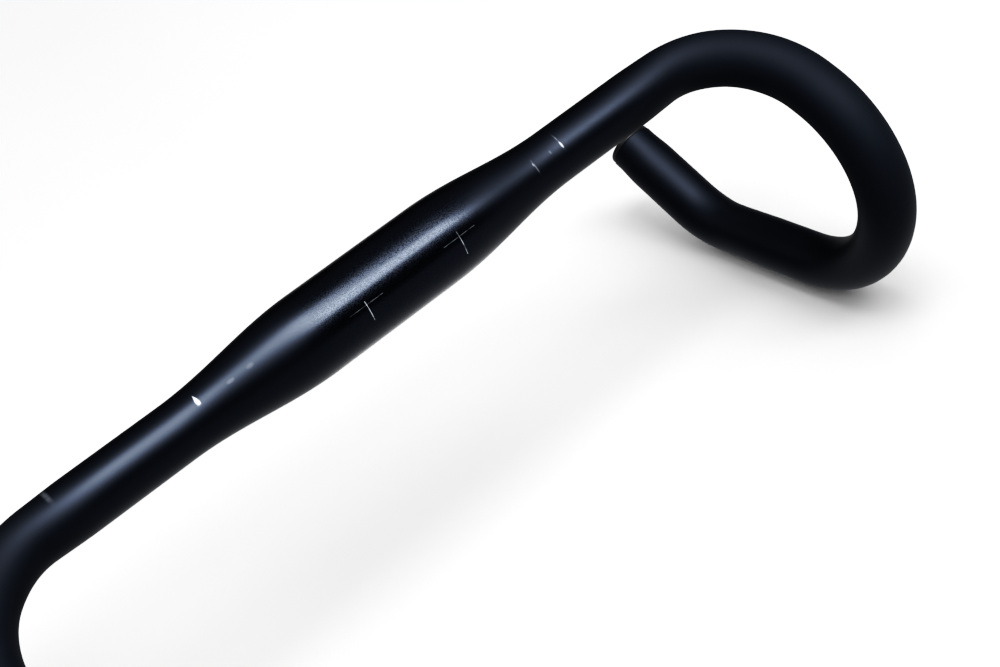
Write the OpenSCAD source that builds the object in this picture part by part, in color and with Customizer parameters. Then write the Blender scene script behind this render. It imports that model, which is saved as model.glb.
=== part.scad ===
// Drop handlebar: one bulged and bent alloy tube, closed at each end by an expanding plug.
// Origin at the centre of the stem clamp. X runs along the tops, Y points forward, Z points up.
// The bar lies as it rests on a table, with its grips level.

/* [Bar tube] */
// Outer diameter of the tube
tube_d = 23.8; // [22.2:0.1:25.4]
// Wall of the tube outside the clamp zone
tube_wall = 1.6; // [1.2:0.1:2]
// Outer diameter of the stem clamp zone
clamp_d = 35; // [31.8:0.1:36]
// Wall in the stem clamp zone
clamp_wall = 2.2; // [1.8:0.1:3]
// Length of the level stem clamp zone
clamp_len = 60; // [44:1:70]
// Distance from the centre to the outer end of the taper
taper_end = 95; // [75:1:120]
// Steps in the curve of each taper
taper_steps = 14; // [8:1:24]

/* [Bar shape] */
// Width between the centres of the two hooks
bar_w = 400; // [360:5:440]
// Centre radius of the bend from the tops into the ramp
bend_r = 45; // [36:1:54]
// Straight length of the ramp
ramp_len = 4; // [2:0.5:30]
// Centre radius of the upper half of the hook
hook_r1 = 49; // [42:1:60]
// Angle of the upper half of the hook
hook_a1 = 80; // [70:1:90]
// Centre radius of the lower half of the hook
hook_r2 = 60; // [50:1:70]
// Angle of the lower half of the hook
hook_a2 = 72; // [62:1:82]
// Straight length of the grip behind the hook
grip_len = 52; // [40:1:65]
// Centre radius of the kink between grip and end
kink_r = 47; // [36:1:60]
// Angle of the kink
kink_a = 33; // [22:1:40]
// Straight length of the end, which holds the plug
end_len = 43; // [36:1:80]
// Chamfer on both edges of the tube's mouth
mouth_chamfer = 0.3; // [0.1:0.1:0.5]

/* [End plug] */
// Thickness of the cap's rim outside the tube
cap_t = 3; // [2.5:0.1:5]
// Round on the rim of the cap
cap_round = 1.4; // [0.6:0.1:2]
// Step from the tube's outside to the cap's rim
cap_step = 0.3; // [0.1:0.1:1]
// Length of the cap's spigot inside the tube
spigot_len = 8; // [7:0.5:9]
// Gap between the spigot and the tube's bore
spigot_gap = 0.4; // [0.3:0.1:0.8]
// Section radius of the sealing ring
seal_r = 1; // [0.8:0.1:1.2]
// Length of each jaw
jaw_len = 18; // [16:0.5:19]
// Width of the slot between two jaws
jaw_slot = 3.8; // [3.6:0.1:4.4]
// Distance between the grip grooves of a jaw
tooth_pitch = 3; // [2.5:0.1:3.5]
// Depth of the grip grooves
tooth_depth = 0.5; // [0.3:0.1:0.7]
// Distance from the top of the jaws to the band that holds them together
band_drop = 5.4; // [4:0.1:6]
// Section radius of the band
band_r = 0.7; // [0.6:0.05:0.8]
// Length of the cone
cone_len = 13; // [12:0.5:14]
// Slope of the cone, radius per length
cone_slope = 0.25; // [0.2:0.01:0.26]
// Length of the cone that stands out behind the jaws
cone_out = 3; // [2.5:0.1:3.5]
// Gap between the wide end of the cone and the tube's bore
cone_gap = 1.7; // [1.5:0.1:2]
// Width of the ribs that keep the cone from turning
rib_w = 1.6; // [1.2:0.1:2]
// Length of the ribs
rib_len = 9; // [8:0.5:10]
// Gap between the ribs and the tube's bore
rib_gap = 1; // [0.8:0.1:1.2]

/* [Screw] */
// Thread diameter of the screw
screw_d = 5; // [4.5:0.1:5]
// Diameter of the screw's head
head_d = 8.5; // [8:0.1:9]
// Height of the screw's head
head_h = 5; // [4:0.1:5]
// Width across the flats of the hex socket
socket_af = 4; // [3:0.5:4]
// Depth of the hex socket
socket_depth = 2.6; // [2:0.1:3]
// Depth of the head below the cap's face
head_sink = 0.4; // [0.2:0.1:0.6]
// Length of the screw that stands out of the cone
screw_out = 2; // [1.5:0.5:4]

/* [Fits] */
// Gap between faces that slide on each other
slide_gap = 0.03; // [0.02:0.01:0.05]
// Gap between the screw and its holes
screw_gap = 0.05; // [0.03:0.01:0.08]
// Gap around the screw's head
head_gap = 0.3; // [0.2:0.1:0.5]
// Play of a rubber ring in its groove
groove_play = 0.3; // [0.2:0.1:0.5]
// Depth of the jaw band below the jaws' outside
band_inset = 0.1; // [0.05:0.05:0.2]

/* [Output] */
// Piece to draw, or all

/* [Hidden] */
$fn = 96;

tube_r = tube_d / 2;
bore_r = tube_r - tube_wall;
clamp_r = clamp_d / 2;
clamp_bore_r = clamp_r - clamp_wall;
tops_end = bar_w / 2 - bend_r;
// Slope of the ramps that leaves the grips level
ramp_slope = 180 - hook_a1 - hook_a2;

// Radii and heights in the plug, measured along its axis from the tube's mouth
rim_r = tube_r - cap_step;
spigot_r = bore_r - spigot_gap;
seal_mid_r = bore_r - slide_gap - seal_r;
seal_groove_r = seal_mid_r - seal_r;
seal_groove_w = 2 * seal_r + groove_play;
seal_z = -spigot_len / 2;
jaw_top = -spigot_len - slide_gap;
jaw_bottom = jaw_top - jaw_len;
jaw_r = bore_r - slide_gap;
band_z = jaw_top - band_drop;
band_mid_r = jaw_r - band_inset - band_r;
band_groove_r = band_mid_r - band_r - slide_gap;
band_groove_w = 2 * band_r + groove_play;
tooth_z = band_z - band_groove_w / 2 - tooth_pitch / 2;
tooth_count = floor((tooth_z - jaw_bottom) / tooth_pitch);
cone_bottom = jaw_bottom - cone_out;
cone_r = bore_r - cone_gap;
screw_r = screw_d / 2;
hole_r = screw_r + screw_gap;
head_top = cap_t - head_sink;
head_floor = head_top - head_h;
screw_bottom = cone_bottom - screw_out;
// Steps in a small round, and how far a cut runs past the face that it opens
round_steps = 8;
over = 1;

// Radius of the tube at distance x from the centre, between a clamp radius and a tube radius
function taper_u(x) = min(1, max(0, (x - clamp_len / 2) / (taper_end - clamp_len / 2)));
function taper_r(x, wide, thin) = thin + (wide - thin) * (1 + cos(180 * taper_u(x))) / 2;
function taper_x(i) = clamp_len / 2 + (taper_end - clamp_len / 2) * i / taper_steps;
function contour(wide, thin) = concat(
  [[thin, -tops_end]],
  [for (i = [taper_steps : -1 : 0]) [taper_r(taper_x(i), wide, thin), -taper_x(i)]],
  [for (i = [0 : taper_steps]) [taper_r(taper_x(i), wide, thin), taper_x(i)]],
  [[thin, tops_end]]
);
function reversed(list) = [for (i = [len(list) - 1 : -1 : 0]) list[i]];

module ring_2d() {
  difference() {
    circle(r = tube_r);
    circle(r = bore_r);
  }
}

module tops() {
  color("#15171c")
    rotate([0, 90, 0])
      rotate_extrude()
        polygon(concat(contour(clamp_r, tube_r), reversed(contour(clamp_bore_r, bore_r))));
}

// Steps along the path: Z points onward, X points to the inside of the next bend
module past_run(len) {
  translate([0, 0, len])
    children();
}

module past_turn(r, a) {
  translate([r, 0, 0])
    rotate([0, a, 0])
      translate([-r, 0, 0])
        children();
}

// Start of the path at the right end of the tops, and the roll from the tops' plane to the hook's
module from_tops() {
  rotate([-ramp_slope, 0, 0])
    translate([tops_end, 0, 0])
      rotate([90, 0, 0])
        rotate([0, 90, 0])
          children();
}

module past_top_bend() {
  from_tops()
    past_turn(bend_r, 90)
      rotate([0, 0, -90])
        children();
}

module from_grip() {
  past_top_bend()
    past_run(ramp_len)
      past_turn(hook_r1, hook_a1)
        past_turn(hook_r2, hook_a2)
          children();
}

module from_end() {
  from_grip()
    past_run(grip_len)
      past_turn(kink_r, kink_a)
        children();
}

// Stretches of tube that leave the point reached, and a bend that arrives at it
module tube_run(len) {
  linear_extrude(len)
    ring_2d();
}

module tube_bend(r, a, start) {
  translate([r, 0, 0])
    rotate([-90, 0, 0])
      rotate_extrude(angle = a, start = start)
        translate([r, 0])
          ring_2d();
}

module tube_turn(r, a) {
  tube_bend(r, a, 180);
}

module tube_turn_in(r, a) {
  tube_bend(r, a, 180 - a);
}

module shoulder() {
  from_tops()
    tube_turn(bend_r, 90);
  past_top_bend() {
    tube_run(ramp_len);
    past_run(ramp_len)
      tube_turn(hook_r1, hook_a1);
  }
}

module grip() {
  from_grip() {
    tube_turn_in(hook_r2, hook_a2);
    tube_run(grip_len);
    past_run(grip_len)
      tube_turn(kink_r, kink_a);
  }
}

module drop_end() {
  chamfer_z = end_len - mouth_chamfer;
  from_end()
    rotate_extrude()
      polygon([
        [bore_r, 0], [tube_r, 0], [tube_r, chamfer_z], [tube_r - mouth_chamfer, end_len],
        [bore_r + mouth_chamfer, end_len], [bore_r, chamfer_z]
      ]);
}

// Places a plug piece, drawn about Z with the tube's mouth at 0 and Z pointing out
module plug_place() {
  from_end()
    past_run(end_len)
      children();
}

module left() {
  mirror([1, 0, 0])
    children();
}

module cap() {
  difference() {
    rotate_extrude()
      polygon(concat(
        [[0, -spigot_len], [spigot_r, -spigot_len], [spigot_r, 0], [rim_r, 0]],
        [for (i = [0 : round_steps]) [
          rim_r - cap_round + cap_round * cos(i * 90 / round_steps),
          cap_t - cap_round + cap_round * sin(i * 90 / round_steps)
        ]],
        [[0, cap_t]]
      ));
    translate([0, 0, -spigot_len - over])
      cylinder(r = hole_r, h = spigot_len + cap_t + 2 * over);
    translate([0, 0, head_floor])
      cylinder(r = head_d / 2 + head_gap, h = head_h + head_sink + over);
    translate([0, 0, seal_z - seal_groove_w / 2])
      difference() {
        cylinder(r = spigot_r + over, h = seal_groove_w);
        translate([0, 0, -over])
          cylinder(r = seal_groove_r, h = seal_groove_w + 2 * over);
      }
  }
}

module rubber_ring(mid_r, section_r, z) {
  translate([0, 0, z])
    rotate_extrude()
      translate([mid_r, 0])
        circle(r = section_r, $fn = 32);
}

module screw() {
  difference() {
    union() {
      translate([0, 0, head_floor])
        cylinder(r = head_d / 2, h = head_h);
      translate([0, 0, screw_bottom])
        cylinder(r = screw_r, h = head_floor - screw_bottom + over);
    }
    translate([0, 0, head_top - socket_depth])
      cylinder(d = socket_af / cos(30), h = socket_depth + over, $fn = 6);
  }
}

module cone() {
  difference() {
    union() {
      translate([0, 0, cone_bottom])
        cylinder(r1 = cone_r, r2 = cone_r - cone_slope * cone_len, h = cone_len);
      for (turn = [60, 180, 300])
        rotate([0, 0, turn])
          translate([0, -rib_w / 2, cone_bottom])
            cube([bore_r - rib_gap, rib_w, rib_len]);
    }
    translate([0, 0, cone_bottom - over])
      cylinder(r = hole_r, h = cone_len + 2 * over);
  }
}

// Radius of the jaw's inner face at height z, which follows the cone
function jaw_in(z) = cone_r + slide_gap - cone_slope * (z - cone_bottom);

module jaw(turn) {
  rotate([0, 0, turn])
    difference() {
      rotate([0, 0, -60])
        rotate_extrude(angle = 120)
          polygon(concat(
            [[jaw_in(jaw_top), jaw_top], [jaw_r, jaw_top]],
            [[jaw_r, band_z + band_groove_w / 2], [band_groove_r, band_z + band_groove_w / 2]],
            [[band_groove_r, band_z - band_groove_w / 2], [jaw_r, band_z - band_groove_w / 2]],
            [for (i = [0 : tooth_count - 1], k = [-1 : 1]) [
              jaw_r - tooth_depth * (1 - abs(k)),
              tooth_z - i * tooth_pitch - k * tooth_depth
            ]],
            [[jaw_r, jaw_bottom], [jaw_in(jaw_bottom), jaw_bottom]]
          ));
      for (edge = [-60, 60])
        rotate([0, 0, edge])
          translate([0, -jaw_slot / 2, jaw_bottom - over])
            cube([bore_r + over, jaw_slot, jaw_len + 2 * over]);
    }
}

module right_shoulder() {
  color("#15171c") shoulder();
}

module right_grip() {
  color("#15171c") grip();
}

module right_end() {
  color("#15171c") drop_end();
}

module left_shoulder() {
  color("#15171c") left() shoulder();
}

module left_grip() {
  color("#15171c") left() grip();
}

module left_end() {
  color("#15171c") left() drop_end();
}

module right_cap() {
  color("#101114") plug_place() cap();
}

module right_seal() {
  color("#0b0b0c") plug_place() rubber_ring(seal_mid_r, seal_r, seal_z);
}

module right_screw() {
  color("#3a3b3e") plug_place() screw();
}

module right_cone() {
  color("#a9abb0") plug_place() cone();
}

module right_jaw_a() {
  color("#26282c") plug_place() jaw(0);
}

module right_jaw_b() {
  color("#26282c") plug_place() jaw(120);
}

module right_jaw_c() {
  color("#26282c") plug_place() jaw(240);
}

module right_jaw_band() {
  color("#0b0b0c") plug_place() rubber_ring(band_mid_r, band_r, band_z);
}

module left_cap() {
  color("#101114") left() plug_place() cap();
}

module left_seal() {
  color("#0b0b0c") left() plug_place() rubber_ring(seal_mid_r, seal_r, seal_z);
}

module left_screw() {
  color("#3a3b3e") left() plug_place() screw();
}

module left_cone() {
  color("#a9abb0") left() plug_place() cone();
}

module left_jaw_a() {
  color("#26282c") left() plug_place() jaw(0);
}

module left_jaw_b() {
  color("#26282c") left() plug_place() jaw(120);
}

module left_jaw_c() {
  color("#26282c") left() plug_place() jaw(240);
}

module left_jaw_band() {
  color("#0b0b0c") left() plug_place() rubber_ring(band_mid_r, band_r, band_z);
}

tops();
right_shoulder();
right_grip();
right_end();
left_shoulder();
left_grip();
left_end();
right_cap();
right_seal();
right_screw();
right_cone();
right_jaw_a();
right_jaw_b();
right_jaw_c();
right_jaw_band();
left_cap();
left_seal();
left_screw();
left_cone();
left_jaw_a();
left_jaw_b();
left_jaw_c();
left_jaw_band();
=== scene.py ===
"""Drop handlebar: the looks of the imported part, with its floor, light and camera.

Lengths are in metres. X runs along the tops, Y points forward and Z points up, with the grips level.
"""

import math
from collections import namedtuple

import bpy
from mathutils import Matrix, Quaternion, Vector


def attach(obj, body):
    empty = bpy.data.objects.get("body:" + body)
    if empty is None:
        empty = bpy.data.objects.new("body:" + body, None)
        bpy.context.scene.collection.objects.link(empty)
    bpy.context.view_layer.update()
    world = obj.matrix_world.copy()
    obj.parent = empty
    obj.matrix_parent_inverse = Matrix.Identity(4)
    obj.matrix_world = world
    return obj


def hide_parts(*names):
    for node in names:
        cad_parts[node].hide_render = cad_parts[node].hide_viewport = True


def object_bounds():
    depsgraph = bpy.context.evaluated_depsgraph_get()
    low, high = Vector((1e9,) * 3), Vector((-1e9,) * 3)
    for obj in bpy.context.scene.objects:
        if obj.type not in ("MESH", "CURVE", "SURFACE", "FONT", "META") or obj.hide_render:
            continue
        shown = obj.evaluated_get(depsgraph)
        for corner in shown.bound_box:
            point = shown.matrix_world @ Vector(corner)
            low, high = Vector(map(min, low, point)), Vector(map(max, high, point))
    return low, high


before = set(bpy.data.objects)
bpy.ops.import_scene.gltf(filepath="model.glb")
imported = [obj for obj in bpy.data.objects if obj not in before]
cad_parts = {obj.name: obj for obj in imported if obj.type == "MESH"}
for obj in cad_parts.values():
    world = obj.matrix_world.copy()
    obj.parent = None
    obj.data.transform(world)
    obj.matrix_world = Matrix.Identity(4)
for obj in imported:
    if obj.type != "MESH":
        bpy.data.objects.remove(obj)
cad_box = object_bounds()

MM = 0.001
FULL_TURN = 2 * math.pi

# Camera, fitted to the outline of the photographed bar
CAMERA_AT = Vector((0.21551, 0.54030, 0.35700))
CAMERA_LOOKS = Vector((-0.35546, -0.74328, -0.56673))
CAMERA_ROLL = math.radians(-22.56)
CAMERA_LENS_MM = 63.43
SENSOR_MM = 36

# Tube: radii outside and in the bore, beyond the tapers and in the clamp zone
TUBE_R = 11.9 * MM
BORE_R = 10.3 * MM
CLAMP_R = 17.5 * MM
CLAMP_BORE_R = 15.3 * MM
CLAMP_HALF = 30 * MM
TAPER_END = 95 * MM
MOUTH_CHAMFER = 0.3 * MM
RAMP_SLOPE = math.radians(28)

# Right half of the tube's path, from the centre of the tops to the mouth. The size of a run is its length,
# and the size of a turn is its radius
Stretch = namedtuple("Stretch", "kind size degrees")
PATH = [
    Stretch("run", 155 * MM, 0),
    Stretch("forward", 45 * MM, 90),
    Stretch("run", 4 * MM, 0),
    Stretch("down", 49 * MM, 80),
    Stretch("down", 60 * MM, 72),
    Stretch("run", 52 * MM, 0),
    Stretch("down", 47 * MM, 33),
    Stretch("run", 43 * MM, 0),
]

# Bending has spread the drops sideways, and pressed the tube in at the start of two bends, as shares of its
# radius. Distances count along the path from the centre, and those of SPREAD_BACK count back from the mouth
DROP_SPREAD = 0.07
SPREAD_FROM, SPREAD_FULL = 182 * MM, 210 * MM
SPREAD_BACK = (3 * MM, 15 * MM)
Dent = namedtuple("Dent", "middle half depth")
DENTS = [
    Dent(161 * MM, 24 * MM, 0.06),
    Dent(422 * MM, 26 * MM, 0.05),
]

# Fineness of the meshes
AROUND = 96
STEP_OUT = 1.6 * MM
STEP_IN = 4 * MM
RIM_STEPS = 12
SCREW_AROUND = 240
STEPS_PER_PITCH = 8
SHARP_ANGLE = math.radians(35)
# Rows that the tube is cut into on its flat map, outside and in the bore
ROWS_OUT = 4
ROWS_IN = 2
ROW_MARGIN = 0.01

# Plug: radii and heights along its axis from the tube's mouth, as in the solids
RIM_R = 11.6 * MM
RIM_TOP = 3 * MM
RIM_ROUND = 1.4 * MM
SPIGOT_R = 9.9 * MM
SPIGOT_END = -8 * MM
GROOVE_R = 8.27 * MM
GROOVE_LOW, GROOVE_HIGH = -5.15 * MM, -2.85 * MM
HOLE_R = 2.55 * MM
COUNTERBORE_R = 4.55 * MM
EDGE = 0.25 * MM
HEAD_R = 4.25 * MM
HEAD_FLOOR = -2.4 * MM
HEAD_TOP = 2.6 * MM
BEVEL_IN, BEVEL_DOWN = 2.5 * EDGE, 2 * EDGE
SOCKET_HALF = 2 * MM
SOCKET_MOUTH_R = 1.25 * SOCKET_HALF
SOCKET_FLOOR = 0 * MM
SCREW_R = 2.5 * MM
SCREW_END = -31.03 * MM
TIP_CHAMFER = 0.5 * MM
PITCH = 0.8 * MM
THREAD_DEPTH = 0.45 * MM
THREAD_TOP = -8 * MM
FLANK_STEEPNESS = 0.8
KNURLS = 40
KNURL_DEPTH = 0.12 * MM
KNURL_INSET = 3 * EDGE


def stretch_length(stretch):
    return stretch.size if stretch.kind == "run" else stretch.size * math.radians(stretch.degrees)


HALF_LENGTH = sum(stretch_length(stretch) for stretch in PATH)
WHOLE_LENGTH = 2 * HALF_LENGTH


def path_frame(distance):
    """Point, onward, upper and front direction of the right half's path at a distance from the centre."""
    at = Vector((0, 0, 0))
    onward = Vector((1, 0, 0))
    upper = Vector((0, math.sin(RAMP_SLOPE), math.cos(RAMP_SLOPE)))
    front = Vector((0, math.cos(RAMP_SLOPE), -math.sin(RAMP_SLOPE)))
    for stretch in PATH:
        length = min(distance, stretch_length(stretch))
        distance -= length
        if stretch.kind == "run":
            at = at + onward * length
            continue
        radius = stretch.size
        turned = length / radius
        inward = front if stretch.kind == "forward" else -upper
        at = at + inward * radius * (1 - math.cos(turned)) + onward * radius * math.sin(turned)
        bent = inward * math.cos(turned) - onward * math.sin(turned)
        onward = onward * math.cos(turned) + inward * math.sin(turned)
        if stretch.kind == "forward":
            front = bent
        else:
            upper = -bent
    return at, onward, upper, front


# The right plug's place and directions, and the height of the tube's mouth along the way out
PLUG_AT, PLUG_OUT, PLUG_UPPER, _ = path_frame(HALF_LENGTH)
MOUTH_HEIGHT = PLUG_AT.dot(PLUG_OUT)


def limited(value):
    """The value, kept between 0 and 1."""
    return min(1, max(0, value))


def smooth(value, start, end):
    """0 up to start, 1 from end, and a smooth step between them."""
    share = limited((value - start) / (end - start))
    return share * share * (3 - 2 * share)


def evenly(low, high, step):
    """Numbers from low to high, at most a step apart."""
    count = math.ceil((high - low) / step)
    return [low + (high - low) * k / count for k in range(count + 1)]


def taper(distance, wide, thin):
    """Radius of the tube at a distance from the centre, wide in the clamp zone and thin beyond the taper."""
    share = limited((distance - CLAMP_HALF) / (TAPER_END - CLAMP_HALF))
    return thin + (wide - thin) * (1 + math.cos(math.pi * share)) / 2


def spread_share(distance):
    """Width of the tube from back to front, as a share of its height."""
    share = DROP_SPREAD * smooth(distance, SPREAD_FROM, SPREAD_FULL)
    share *= smooth(HALF_LENGTH - distance, *SPREAD_BACK)
    for dent in DENTS:
        share -= dent.depth * smooth(dent.half - abs(distance - dent.middle), 0, dent.half)
    return 1 + share


def tube_ring(s, radius, width=1.0):
    """Points of one ring of the tube, from its underside round by the front. Negative s is the left half."""
    at, _, upper, front = path_frame(abs(s))
    ring = []
    for k in range(AROUND):
        angle = FULL_TURN * k / AROUND - math.pi
        point = at + radius * (math.cos(angle) * upper + width * math.sin(angle) * front)
        if s < 0:
            point.x = -point.x
        ring.append(point)
    return ring


def loft(name, rings, closed):
    """Mesh through rings of points. If closed, the last ring joins the first, or else the ends get faces."""
    around = len(rings[0])
    points = [point for ring in rings for point in ring]
    faces = []
    for i in range(len(rings) if closed else len(rings) - 1):
        following = (i + 1) % len(rings)
        for k in range(around):
            beside = (k + 1) % around
            faces.append((i * around + k, following * around + k,
                          following * around + beside, i * around + beside))
    if not closed:
        faces.append(tuple(range(around)))
        faces.append(tuple(range(len(points) - 1, len(points) - 1 - around, -1)))
    mesh = bpy.data.meshes.new(name)
    mesh.from_pydata(points, [], faces)
    mesh.polygons.foreach_set("use_smooth", [True] * len(faces))
    mesh.set_sharp_from_angle(angle=SHARP_ANGLE)
    return mesh


def new_object(name, mesh, *materials):
    for material in materials:
        mesh.materials.append(material)
    piece = bpy.data.objects.new(name, mesh)
    bpy.context.scene.collection.objects.link(piece)
    return piece


def tube_sections(step, wide, thin, mouth_r):
    """Distance and radius of each ring of the tube's outside or bore, from the left mouth to the right."""
    chamfer_at = HALF_LENGTH - MOUTH_CHAMFER
    sections = [(s, taper(abs(s), wide, thin)) for s in evenly(-chamfer_at, chamfer_at, step)]
    return [(-HALF_LENGTH, mouth_r)] + sections + [(HALF_LENGTH, mouth_r)]


def add_tube_maps(mesh, distances, outer_count):
    """Adds a map of distance along the path and turn around it, and a flat map without overlaps."""
    path_map = []
    flat_map = []
    for i, here in enumerate(distances):
        there = distances[(i + 1) % len(distances)]
        outside = i < outer_count
        rows = ROWS_OUT if outside else ROWS_IN
        row_below = 0 if outside else ROWS_OUT
        row = min(rows - 1, int((min(here, there) + HALF_LENGTH) / WHOLE_LENGTH * rows))
        row_start = WHOLE_LENGTH * row / rows - HALF_LENGTH
        for k in range(AROUND):
            for s, turns in ((here, k), (there, k), (there, k + 1), (here, k + 1)):
                turn = turns / AROUND
                path_map += [s, turn]
                across = (s - row_start) * rows / WHOLE_LENGTH * (1 - 4 * ROW_MARGIN) + ROW_MARGIN
                up = turn * (1 - 2 * ROW_MARGIN) + ROW_MARGIN
                flat_map += [across, (up + row + row_below) / (ROWS_OUT + ROWS_IN)]
    mesh.uv_layers.new(name="path").data.foreach_set("uv", path_map)
    mesh.uv_layers.new(name="OFBake").data.foreach_set("uv", flat_map)


def bar_mesh():
    """The whole tube with its bore, which takes the second material."""
    outer = tube_sections(STEP_OUT, CLAMP_R, TUBE_R, TUBE_R - MOUTH_CHAMFER)
    inner = tube_sections(STEP_IN, CLAMP_BORE_R, BORE_R, BORE_R + MOUTH_CHAMFER)[::-1]
    rings = [tube_ring(s, radius, spread_share(abs(s))) for s, radius in outer]
    rings += [tube_ring(s, radius) for s, radius in inner]
    mesh = loft("bar_tube", rings, closed=True)
    add_tube_maps(mesh, [s for s, _ in outer + inner], len(outer))
    bore_from = (len(outer) - 1) * AROUND
    mesh.polygons.foreach_set("material_index", [int(n >= bore_from) for n in range(len(mesh.polygons))])
    return mesh


def lathe_ring(radius, height, around):
    """Ring about Z. radius is a number, or a function of the angle."""
    ring = []
    for k in range(around):
        angle = FULL_TURN * k / around
        r = radius(angle) if callable(radius) else radius
        ring.append(Vector((r * math.cos(angle), r * math.sin(angle), height)))
    return ring


def cap_rings():
    """The cap, from the mouth of its counterbore over the rim and down the spigot to the screw's hole."""
    section = [(COUNTERBORE_R, RIM_TOP - EDGE), (COUNTERBORE_R + EDGE, RIM_TOP)]
    for k in range(RIM_STEPS + 1):
        angle = math.radians(90 - 90 * k / RIM_STEPS)
        section.append((RIM_R - RIM_ROUND + RIM_ROUND * math.cos(angle),
                        RIM_TOP - RIM_ROUND + RIM_ROUND * math.sin(angle)))
    section += [
        (RIM_R, EDGE), (RIM_R - EDGE, 0), (SPIGOT_R, 0),
        (SPIGOT_R, GROOVE_HIGH), (GROOVE_R, GROOVE_HIGH),
        (GROOVE_R, GROOVE_LOW), (SPIGOT_R, GROOVE_LOW),
        (SPIGOT_R, SPIGOT_END + EDGE), (SPIGOT_R - EDGE, SPIGOT_END),
        (HOLE_R + EDGE, SPIGOT_END), (HOLE_R, SPIGOT_END + EDGE),
        (HOLE_R, HEAD_FLOOR), (COUNTERBORE_R, HEAD_FLOOR),
    ]
    return [lathe_ring(radius, height, AROUND) for radius, height in section]


def thread_radius(height):
    """Radius of the screw's thread at a height, as a function of the angle. It runs out at both ends."""
    depth = THREAD_DEPTH * limited((THREAD_TOP - height) / PITCH)
    tip = SCREW_R - max(0, SCREW_END + TIP_CHAMFER - height)

    def radius(angle):
        phase = height / PITCH - angle / FULL_TURN
        ridge = limited(0.5 + FLANK_STEEPNESS * math.cos(FULL_TURN * phase))
        return min(tip, SCREW_R - depth * (1 - ridge))
    return radius


def knurl_radius(angle):
    return HEAD_R - KNURL_DEPTH * (1 + math.cos(KNURLS * angle)) / 2


def hexagon_radius(angle):
    side = FULL_TURN / 6
    return SOCKET_HALF / math.cos((angle + side / 2) % side - side / 2)


def screw_rings():
    """The screw, from its tip up the thread, over the knurled head and down into its hexagon socket."""
    section = [(thread_radius(z), z) for z in evenly(SCREW_END, THREAD_TOP, PITCH / STEPS_PER_PITCH)]
    section += [
        (SCREW_R, HEAD_FLOOR), (HEAD_R - EDGE, HEAD_FLOOR), (HEAD_R - KNURL_DEPTH, HEAD_FLOOR + EDGE),
        (knurl_radius, HEAD_FLOOR + KNURL_INSET), (knurl_radius, HEAD_TOP - KNURL_INSET),
        (HEAD_R - KNURL_DEPTH, HEAD_TOP - BEVEL_DOWN), (HEAD_R - BEVEL_IN, HEAD_TOP),
        (SOCKET_MOUTH_R, HEAD_TOP), (hexagon_radius, HEAD_TOP - EDGE), (hexagon_radius, SOCKET_FLOOR),
        (EDGE, SOCKET_FLOOR - EDGE),
    ]
    return [lathe_ring(radius, height, SCREW_AROUND) for radius, height in section]


def plug_piece(name, rings, side, closed, material):
    """A piece turned about Z, moved into the mouth of one drop. side is 1 on the right and -1 on the left."""
    place = Matrix((PLUG_UPPER, PLUG_OUT.cross(PLUG_UPPER), PLUG_OUT)).transposed().to_4x4()
    place.translation = (side * PLUG_AT.x, PLUG_AT.y, PLUG_AT.z)
    placed = [[place @ point for point in ring] for ring in rings]
    return new_object(name, loft(name, placed, closed), material)


class Nodes:
    """Short calls for the nodes of a material or of the world."""

    def __init__(self, tree):
        self.tree = tree

    def plug_in(self, socket, value):
        if isinstance(value, bpy.types.NodeSocket):
            self.tree.links.new(value, socket)
        else:
            socket.default_value = value

    def put(self, node, **inputs):
        """Sets a node's inputs, by name, to numbers or to other nodes' outputs."""
        for name, value in inputs.items():
            self.plug_in(node.inputs[name], value)

    def node(self, kind, settings=(), **inputs):
        node = self.tree.nodes.new("ShaderNode" + kind)
        for name, value in dict(settings).items():
            setattr(node, name, value)
        self.put(node, **inputs)
        return node

    def maths(self, operation, first, second=0.0):
        node = self.node("Math", {"operation": operation})
        self.plug_in(node.inputs[0], first)
        self.plug_in(node.inputs[1], second)
        return node.outputs[0]

    def ramp(self, value, start, end, low=0.0, high=1.0):
        """low where value is start, high where it is end, and a smooth step between them."""
        node = self.node("MapRange", {"interpolation_type": "SMOOTHSTEP"}, Value=value)
        self.put(node, **{"From Min": start, "From Max": end, "To Min": low, "To Max": high})
        return node.outputs[0]


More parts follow.
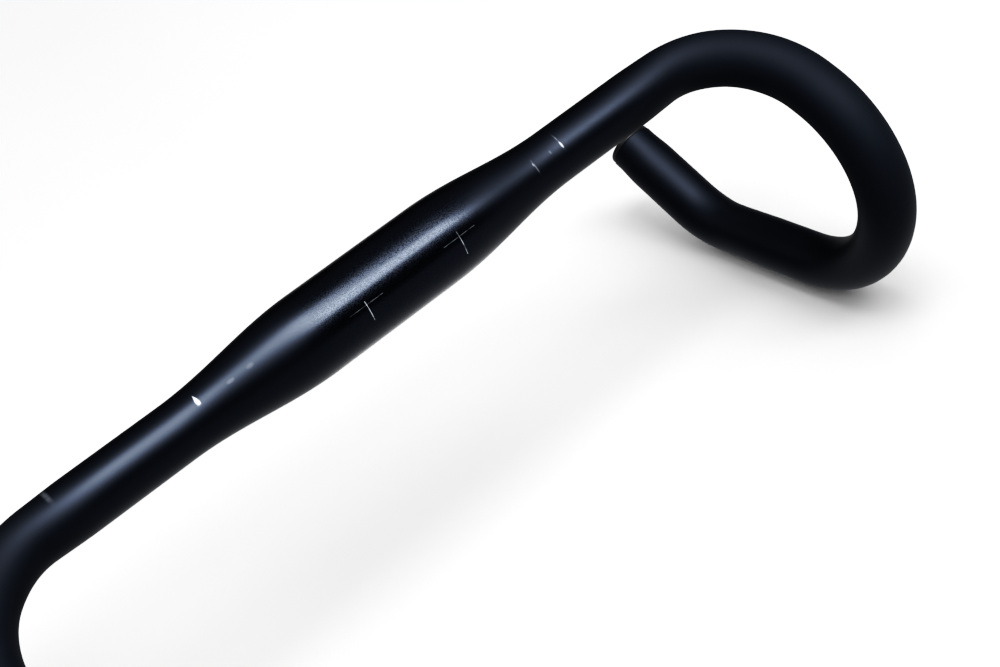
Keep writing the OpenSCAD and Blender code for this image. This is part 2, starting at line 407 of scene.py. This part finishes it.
class Look(Nodes):
    """One procedural material. Scales of noise count per metre."""

    # Kinds of Mix node, with the places of its first value, second value and result
    COLOUR_MIX = ("RGBA", 6, 7, 2)
    NUMBER_MIX = ("FLOAT", 2, 3, 0)

    def __init__(self, name, roughness, specular=0.5, metallic=0.0):
        self.material = bpy.data.materials.new(name)
        self.material.use_nodes = True
        super().__init__(self.material.node_tree)
        self.shader = self.tree.nodes["Principled BSDF"]
        self.put(self.shader, Roughness=roughness, Metallic=metallic)
        self.put(self.shader, **{"Specular IOR Level": specular})

    def path(self):
        """Distance along the tube in metres, and the turn around it from 0 to 1, with 0.5 on top."""
        split = self.node("SeparateXYZ", Vector=self.node("UVMap", {"uv_map": "path"}).outputs[0])
        return split.outputs["X"], split.outputs["Y"]

    def place(self):
        return self.node("TexCoord").outputs["Object"]

    def height(self, direction):
        """Distance of the surface point along a direction."""
        node = self.node("VectorMath", {"operation": "DOT_PRODUCT"})
        self.plug_in(node.inputs[0], self.place())
        self.plug_in(node.inputs[1], direction)
        return node.outputs["Value"]

    def noise(self, vector, scale, detail=2.0, roughness=0.5):
        inputs = dict(Vector=vector, Scale=scale, Detail=detail, Roughness=roughness)
        return self.node("TexNoise", **inputs).outputs["Fac"]

    def streaks(self, first, first_scale, second=0.0, second_scale=0.0, detail=2.0):
        """Noise over one or two measures of the surface, each at a scale of its own."""
        x = self.maths("MULTIPLY", first, first_scale)
        y = self.maths("MULTIPLY", second, second_scale)
        return self.noise(self.node("CombineXYZ", X=x, Y=y).outputs[0], scale=1.0, detail=detail)

    def near(self, value, middle, half, soft):
        """1 within half of the middle, 0 beyond a soft edge."""
        off = self.maths("ABSOLUTE", self.maths("SUBTRACT", value, middle))
        return self.ramp(off, half + soft, half)

    def mixed(self, kind, share, first, second):
        data_type, first_at, second_at, result_at = kind
        node = self.node("Mix", {"data_type": data_type})
        self.plug_in(node.inputs[0], share)
        self.plug_in(node.inputs[first_at], first)
        self.plug_in(node.inputs[second_at], second)
        return node.outputs[result_at]

    def mix(self, share, first, second):
        """Mixes two colours."""
        return self.mixed(self.COLOUR_MIX, share, first, second)

    def blend(self, share, first, second):
        """Mixes two numbers."""
        return self.mixed(self.NUMBER_MIX, share, first, second)

    def colour(self, value):
        self.put(self.shader, **{"Base Color": value})

    def bump(self, height, strength, distance):
        node = self.node("Bump", Height=height, Strength=strength, Distance=distance)
        self.put(self.shader, Normal=node.outputs[0])


def grey(value, blue=1.0):
    return (value, value, value * blue, 1)


# Black alloy, as pairs that a faint cloud blends: its colour bare and under tape, and its roughness on the
# tops, in the drops and under tape. Where the stem has polished it, the roughness follows the grain
BARE_BLACK = ((0.0005, 0.0007, 0.0014, 1), (0.0010, 0.0012, 0.0022, 1))
TAPED_BLACK = ((0.0010, 0.0012, 0.0020, 1), (0.0017, 0.0020, 0.0030, 1))
GLOSS_TINT = (0.70, 0.80, 1.0, 1)
TOPS_ROUGH = (0.41, 0.45)
DROPS_ROUGH = (0.54, 0.60)
TAPED_ROUGH = (0.71, 0.77)
POLISHED_ROUGH = (0.36, 0.18)
POLISHED_GRAIN = (0.38, 0.64)
SATIN_GRAIN_HEIGHT = 0.5
# Where these finishes lie, by distance from the centre
POLISH_AT, POLISH_HALF, POLISH_FADE = -7 * MM, 26 * MM, 30 * MM
TAPE_FROM, TAPE_FULL = 118 * MM, 190 * MM
DROPS_FROM, DROPS_FULL = 270 * MM, 320 * MM

# Wear down to the alloy, and painted glints of scratches, in mm along the bar and in degrees from its top
# towards the front.
# Rings are rubbed by clamps and tape, and fade out over their reach
# Colour and metal of bare alloy, for real wear and for the painted glints in the chip list below
WORN_ALLOY_AND_GLINT = (0.30, 0.31, 0.33, 1)
WORN_AND_GLINT_METALLIC = 0.6
Ring = namedtuple("Ring", "distance half_width middle reach strength")
RUBBED_RINGS = [
    Ring(-95.8, 0.25, 12, 27, 0.15),
    Ring(-80.6, 0.25, 26, 21, 0.13),
    Ring(146.0, 0.9, -26, 34, 0.06),
]
# Shares of a ring's half width and reach that are full, and over which they fade
RING_FULL, RING_FADE = 0.4, 1.2
REACH_FULL, REACH_FADE = 0.2, 0.8
# Chips and painted glints can narrow to a point on one side. The bare share says how much of a mark has its
# full strength.
# The first entry is a real chip in the black finish. The others sit on the rubbed rings and along the
# highlight, where they paint the glint of scratches as bright bare alloy: partly wear, partly painted
# highlight
ChipOrGlint = namedtuple("ChipOrGlint", "distance degrees half_length half_width narrowing bare_share strength")
CHIPS_AND_GLINTS = [
    ChipOrGlint(83.5, 2, 0.85, 2.8, 0.8, 0.2, 0.6),
    ChipOrGlint(69.5, 13, 2.0, 0.9, 0.0, 0.05, 0.06),
    ChipOrGlint(60.6, 13, 2.0, 0.9, 0.0, 0.05, 0.05),
    ChipOrGlint(-95.8, 20, 0.5, 1.8, 0.0, 0.2, 0.5),
    ChipOrGlint(-89.8, 19, 0.5, 1.1, 0.0, 0.1, 0.08),
    ChipOrGlint(-80.3, 20, 0.35, 0.9, 0.0, 0.3, 0.25),
]
CHIP_RAGGED = 0.9
CHIP_EDGE, CHIP_BARE = 1.5, 0.45
CHIP_LEAST_LENGTH = 0.1

# Plain printed crosses in the clamp zone that show the bar's turn in its stem, in mm and degrees as above:
# a line around the bar with its middle and reach, and a fainter arm along the bar
Cross = namedtuple("Cross", "distance middle reach arm_degrees")
CROSSES = [
    Cross(-35.0, 50, 17, 40),
    Cross(11.5, 49, 14, 40),
]
CROSS_ARM = 8 * MM
LINE_HALF = 0.12 * MM
LINE_HALF_DEGREES = 0.35
ARM_STRENGTH = 0.35
PRINT_GREY = (0.10, 0.105, 0.11, 1)


def turn_at(degrees):
    """Turn around the tube, from 0 to 1, of an angle from its top."""
    return 0.5 + degrees / 360


def rubbed_rings(look, s, turn):
    """Share of bare alloy that shows in the rings, broken up along them."""
    patches = look.ramp(look.streaks(s, 120.0, turn, 30.0), start=0.34, end=0.56, low=0.35)
    worn = 0.0
    for ring in RUBBED_RINGS:
        half = ring.half_width * MM
        band = look.near(s, ring.distance * MM, RING_FULL * half, RING_FADE * half)
        reach = ring.reach / 360
        arc = look.near(turn, turn_at(ring.middle), REACH_FULL * reach, REACH_FADE * reach)
        mark = look.maths("MULTIPLY", look.maths("MULTIPLY", band, arc), ring.strength)
        worn = look.maths("MAXIMUM", worn, look.maths("MULTIPLY", mark, patches))
    return worn


def chips_and_glints(look, s, turn, place):
    """Share of bare alloy inside the ragged outline of each chip, real or a painted glint."""
    ragged = look.maths("MULTIPLY", look.noise(place, scale=1500.0, detail=3), CHIP_RAGGED)
    bare = 0.0
    for chip in CHIPS_AND_GLINTS:
        arc = look.maths("MULTIPLY", look.maths("SUBTRACT", turn, turn_at(chip.degrees)), FULL_TURN * TUBE_R)
        across = look.maths("DIVIDE", arc, chip.half_width * MM)
        full_half = chip.half_length * MM
        half = look.maths("ADD", look.maths("MULTIPLY", across, chip.narrowing * full_half), full_half)
        half = look.maths("MAXIMUM", half, CHIP_LEAST_LENGTH * full_half)
        along = look.maths("DIVIDE", look.maths("SUBTRACT", s, chip.distance * MM), half)
        reach = look.maths("ADD", look.maths("POWER", along, 2.0), look.maths("POWER", across, 2.0))
        reach = look.maths("ADD", reach, ragged)
        mark = look.ramp(reach, start=CHIP_EDGE, end=CHIP_BARE + chip.bare_share, high=chip.strength)
        bare = look.maths("MAXIMUM", bare, mark)
    return bare


def printed_crosses(look, s, turn, place):
    """Share of print: for each cross a line around the bar and a fainter one along it, partly worn off."""
    degrees = look.maths("MULTIPLY", look.maths("SUBTRACT", turn, turn_at(0)), 360)
    printed = 0.0
    for cross in CROSSES:
        off_line = look.maths("SUBTRACT", s, cross.distance * MM)
        line = look.maths("MULTIPLY", look.near(off_line, 0.0, LINE_HALF, LINE_HALF),
                          look.near(degrees, cross.middle, cross.reach, LINE_HALF_DEGREES))
        off_arm = look.maths("SUBTRACT", degrees, cross.arm_degrees)
        arm = look.maths("MULTIPLY", look.near(off_line, 0.0, CROSS_ARM, LINE_HALF),
                         look.near(off_arm, 0.0, LINE_HALF_DEGREES, LINE_HALF_DEGREES))
        arm = look.maths("MULTIPLY", arm, ARM_STRENGTH)
        printed = look.maths("MAXIMUM", printed, look.maths("MAXIMUM", line, arm))
    left = look.ramp(look.noise(place, scale=420.0, detail=3), start=0.36, end=0.56, low=0.35)
    return look.maths("MULTIPLY", printed, left)


def black_alloy():
    """Black anodised tube: polished where the stem clamps it, satin on the tops, and matte under tape."""
    look = Look("black_alloy", roughness=TOPS_ROUGH[0], specular=0.36)
    look.put(look.shader, **{"Specular Tint": GLOSS_TINT})
    s, turn = look.path()
    place = look.place()
    cloud = look.noise(place, scale=14.0, detail=3)
    grain = look.noise(place, scale=2600.0, detail=1)
    away = look.maths("ABSOLUTE", s)
    polished = look.near(s, POLISH_AT, POLISH_HALF, POLISH_FADE)
    in_drops = look.ramp(away, DROPS_FROM, DROPS_FULL)
    before_drops = look.ramp(away, DROPS_FULL, DROPS_FROM)
    taped = look.maths("MULTIPLY", look.ramp(away, TAPE_FROM, TAPE_FULL), before_drops)
    # Bare alloy from real wear, plus painted glints where scratches on the rings and specks along the
    # highlight catch the light
    worn = look.maths("MAXIMUM", rubbed_rings(look, s, turn), chips_and_glints(look, s, turn, place))

    colour = look.mix(taped, look.mix(cloud, *BARE_BLACK), look.mix(cloud, *TAPED_BLACK))
    colour = look.mix(printed_crosses(look, s, turn, place), colour, PRINT_GREY)
    look.colour(look.mix(worn, colour, WORN_ALLOY_AND_GLINT))

    rough = look.blend(in_drops, look.blend(cloud, *TOPS_ROUGH), look.blend(cloud, *DROPS_ROUGH))
    rough = look.blend(taped, rough, look.blend(cloud, *TAPED_ROUGH))
    rough = look.blend(polished, rough, look.ramp(grain, *POLISHED_GRAIN, *POLISHED_ROUGH))
    look.put(look.shader, Roughness=rough, Metallic=look.maths("MULTIPLY", worn, WORN_AND_GLINT_METALLIC))
    height = look.blend(polished, look.maths("MULTIPLY", grain, SATIN_GRAIN_HEIGHT), grain)
    look.bump(height, strength=0.12, distance=0.05 * MM)
    return look.material


def bore_alloy():
    """Inside of the tube: dull dark alloy with lines from drawing."""
    look = Look("bore_alloy", roughness=0.45, metallic=0.8)
    s, turn = look.path()
    lines = look.streaks(s, 8.0, turn, 240.0)
    look.colour(look.mix(lines, grey(0.10), grey(0.22, blue=1.04)))
    look.put(look.shader, Roughness=look.blend(lines, 0.38, 0.55))
    look.bump(lines, strength=0.2, distance=0.05 * MM)
    return look.material


def cap_plastic():
    """Black moulded cap with a fine sparked grain, paler where the rim has rubbed on walls and floors."""
    look = Look("cap_plastic", roughness=0.5, specular=0.3)
    place = look.place()
    grain = look.noise(place, scale=3200.0, detail=1)
    scuffs = look.ramp(look.noise(place, scale=260.0, detail=4, roughness=0.7), start=0.56, end=0.72)
    above_mouth = look.maths("SUBTRACT", look.height(PLUG_OUT), MOUTH_HEIGHT)
    on_rim = look.ramp(above_mouth, start=0.6 * MM, end=2.4 * MM)
    worn = look.maths("MULTIPLY", scuffs, on_rim)
    body = look.mix(grain, grey(0.0045, blue=1.2), grey(0.0085, blue=1.2))
    look.colour(look.mix(worn, body, grey(0.035, blue=1.05)))
    look.put(look.shader, Roughness=look.blend(worn, look.blend(grain, 0.42, 0.55), 0.68))
    look.bump(grain, strength=0.3, distance=0.05 * MM)
    return look.material


def rubber():
    """Soft black rubber with a dusty bloom."""
    look = Look("rubber", roughness=0.75, specular=0.25)
    place = look.place()
    bloom = look.noise(place, scale=420.0, detail=4, roughness=0.65)
    specks = look.noise(place, scale=2400.0, detail=1)
    look.colour(look.mix(bloom, grey(0.008), grey(0.026, blue=1.05)))
    look.put(look.shader, Roughness=look.blend(bloom, 0.66, 0.86))
    look.bump(specks, strength=0.35, distance=0.06 * MM)
    return look.material


def screw_steel():
    """Dark plated steel with fine turning marks and a few bright rubbed spots."""
    look = Look("screw_steel", roughness=0.32, metallic=1.0)
    rings = look.streaks(look.height(PLUG_OUT), 9000.0)
    spots = look.ramp(look.noise(look.place(), scale=700.0, detail=3), start=0.58, end=0.7)
    plated = look.mix(rings, grey(0.19), grey(0.27, blue=1.03))
    look.colour(look.mix(spots, plated, grey(0.46, blue=0.98)))
    look.put(look.shader, Roughness=look.blend(rings, 0.26, 0.40))
    look.bump(rings, strength=0.15, distance=0.03 * MM)
    return look.material


def cone_alloy():
    """Bright turned alloy, with the lathe's feed marks as fine rings."""
    look = Look("cone_alloy", roughness=0.3, metallic=1.0)
    along = look.height(PLUG_OUT)
    feed_per_turn = 0.32 * MM
    feed = look.maths("SINE", look.maths("MULTIPLY", along, FULL_TURN / feed_per_turn))
    uneven = look.streaks(along, 2600.0)
    stain = look.noise(look.place(), scale=130.0, detail=3)
    look.colour(look.mix(uneven, look.mix(stain, grey(0.42), grey(0.52)), grey(0.66, blue=1.02)))
    look.put(look.shader, Roughness=look.blend(uneven, 0.24, 0.38))
    look.bump(look.maths("ADD", feed, uneven), strength=0.25, distance=0.02 * MM)
    return look.material


def jaw_plastic():
    """Grey filled nylon: mottled, dull, with short fibres just under the skin."""
    look = Look("jaw_plastic", roughness=0.55, specular=0.35)
    mottle = look.noise(look.place(), scale=180.0, detail=4, roughness=0.6)
    fibres = look.streaks(look.height(PLUG_OUT), 500.0, look.height((1, 0, 0)), 5200.0, detail=1)
    fibres = look.ramp(fibres, start=0.58, end=0.72, high=0.35)
    body = look.mix(mottle, grey(0.030, blue=1.08), grey(0.052, blue=1.08))
    look.colour(look.mix(fibres, body, grey(0.15)))
    look.put(look.shader, Roughness=look.blend(mottle, 0.46, 0.62))
    look.bump(mottle, strength=0.2, distance=0.08 * MM)
    return look.material


bar = new_object("bar_tube", bar_mesh(), black_alloy(), bore_alloy())
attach(bar, "bar")
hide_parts("tops", "right_shoulder", "right_grip", "right_end",
            "left_shoulder", "left_grip", "left_end")

cap_look = cap_plastic()
screw_look = screw_steel()
rubber_look = rubber()
jaw_look = jaw_plastic()
# Nodes of each plug that keep their own shape
node_looks = {
    "seal": rubber_look,
    "jaw_band": rubber_look,
    "cone": cone_alloy(),
    "jaw_a": jaw_look,
    "jaw_b": jaw_look,
    "jaw_c": jaw_look,
}

for side_name, side in (("right", 1), ("left", -1)):
    cap_piece = plug_piece(side_name + "_plug_cap", cap_rings(), side, True, cap_look)
    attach(cap_piece, side_name + "_plug")
    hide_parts(side_name + "_cap")
    screw_piece = plug_piece(side_name + "_plug_screw", screw_rings(), side, False, screw_look)
    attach(screw_piece, side_name + "_screw")
    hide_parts(side_name + "_screw")
    for node_name, node_look in node_looks.items():
        for slot in bpy.data.objects[side_name + "_" + node_name].material_slots:
            slot.material = node_look

# Floor, and the glow that the bar mirrors in it: a painted reflection that the floor emits for mirrored rays
# only, below the bar and in front of it, and far behind it
FLOOR_GAP = 0.2 * MM
FLOOR_Z = cad_box[0].z - FLOOR_GAP
FLOOR_HALF = 6.0
FLOOR_GLOW_FRONT, FLOOR_GLOW_BACK = 1.15, 0.45
FLOOR_GLOW_FADE = (-0.12, -0.32)

# Soft boxes, which all point at the centre of the bar
Light = namedtuple("Light", "name at width depth power")
LIGHTS = [
    Light("near", at=(-0.12, 0.60, 2.0), width=0.9, depth=0.85, power=72),
    Light("middle", at=(-0.75, 1.46, 2.0), width=1.0, depth=0.8, power=66),
    Light("far", at=(-1.75, 1.9, 2.0), width=0.9, depth=0.8, power=24),
    Light("rear", at=(1.3, -1.55, 1.35), width=1.1, depth=1.1, power=12),
]

# Even light from all sides: what the view shows, what fills the floor's shadows, and what the bar mirrors,
# which is dark at the walls and pale overhead
WALL_SEEN = 0.95
FILL = 4.0
MIRRORED_WALL, MIRRORED_TOP = 0.03, 0.5
WALL_RISE, OVERHEAD_RISE = 0.25, 0.85

# Deep shades of the photograph: linear light, and what it is shown as
TONE_CURVE = [(0.05, 0.010), (0.13, 0.058), (0.25, 0.21), (0.40, 0.40)]
COMBINED_CURVE = 3


def paper():
    """Pale paper. To mirrored rays it is black and glows instead, a painted reflection without shadows,
    brighter in front than far behind.
    """
    look = Look("floor_paper_and_glow", roughness=0.9, specular=0.2)
    faint = look.noise(look.place(), scale=3.0, detail=4)
    paper_grey = look.mix(faint, grey(0.165), grey(0.175))
    # Painted reflection: for mirrored rays the paper turns black and glows by the ramp below
    mirrored = look.node("LightPath").outputs["Is Glossy Ray"]
    look.colour(look.mix(mirrored, paper_grey, grey(0.0)))
    forward = look.node("SeparateXYZ", Vector=look.place()).outputs["Y"]
    reflected_glow = look.ramp(forward, *FLOOR_GLOW_FADE, FLOOR_GLOW_FRONT, FLOOR_GLOW_BACK)
    look.put(look.shader, **{"Emission Color": grey(1.0),
                             "Emission Strength": look.maths("MULTIPLY", mirrored, reflected_glow)})
    return look.material


def floor_mesh():
    corners = ((-1, -1), (1, -1), (1, 1), (-1, 1))
    mesh = bpy.data.meshes.new("floor")
    mesh.from_pydata([(x * FLOOR_HALF, y * FLOOR_HALF, FLOOR_Z) for x, y in corners], [], [(0, 1, 2, 3)])
    return mesh


def add_light(light):
    data = bpy.data.lights.new(light.name, "AREA")
    data.shape = "RECTANGLE"
    data.size = light.width
    data.size_y = light.depth
    data.energy = light.power
    lamp = bpy.data.objects.new(light.name, data)
    lamp.location = light.at
    lamp.rotation_euler = (-Vector(light.at)).to_track_quat("-Z", "Y").to_euler()
    bpy.context.scene.collection.objects.link(lamp)


def add_world():
    world = bpy.data.worlds.new("studio")
    world.use_nodes = True
    sky = Nodes(world.node_tree)
    ray = sky.node("LightPath").outputs
    upward = sky.node("SeparateXYZ", Vector=sky.node("TexCoord").outputs["Generated"]).outputs["Z"]
    mirrored = sky.ramp(upward, WALL_RISE, OVERHEAD_RISE, MIRRORED_WALL, MIRRORED_TOP)
    strength = sky.maths("MULTIPLY", ray["Is Camera Ray"], WALL_SEEN)
    strength = sky.maths("ADD", strength, sky.maths("MULTIPLY", ray["Is Diffuse Ray"], FILL))
    strength = sky.maths("ADD", strength, sky.maths("MULTIPLY", ray["Is Glossy Ray"], mirrored))
    sky.put(sky.tree.nodes["Background"], Color=grey(1.0), Strength=strength)
    bpy.context.scene.world = world


def add_camera():
    data = bpy.data.cameras.new("camera")
    data.sensor_fit = "HORIZONTAL"
    data.sensor_width = SENSOR_MM
    data.lens = CAMERA_LENS_MM
    camera = bpy.data.objects.new("camera", data)
    camera.location = CAMERA_AT
    level_view = CAMERA_LOOKS.to_track_quat("-Z", "Y")
    camera.rotation_euler = (level_view @ Quaternion((0, 0, 1), CAMERA_ROLL)).to_euler()
    bpy.context.scene.collection.objects.link(camera)
    bpy.context.scene.camera = camera


def set_tones():
    view = bpy.context.scene.view_settings
    view.view_transform = "Standard"
    view.use_curve_mapping = True
    for shade in TONE_CURVE:
        view.curve_mapping.curves[COMBINED_CURVE].points.new(*shade)
    view.curve_mapping.update()


floor = new_object("floor", floor_mesh(), paper())
for light in LIGHTS:
    add_light(light)
add_world()
add_camera()
set_tones()
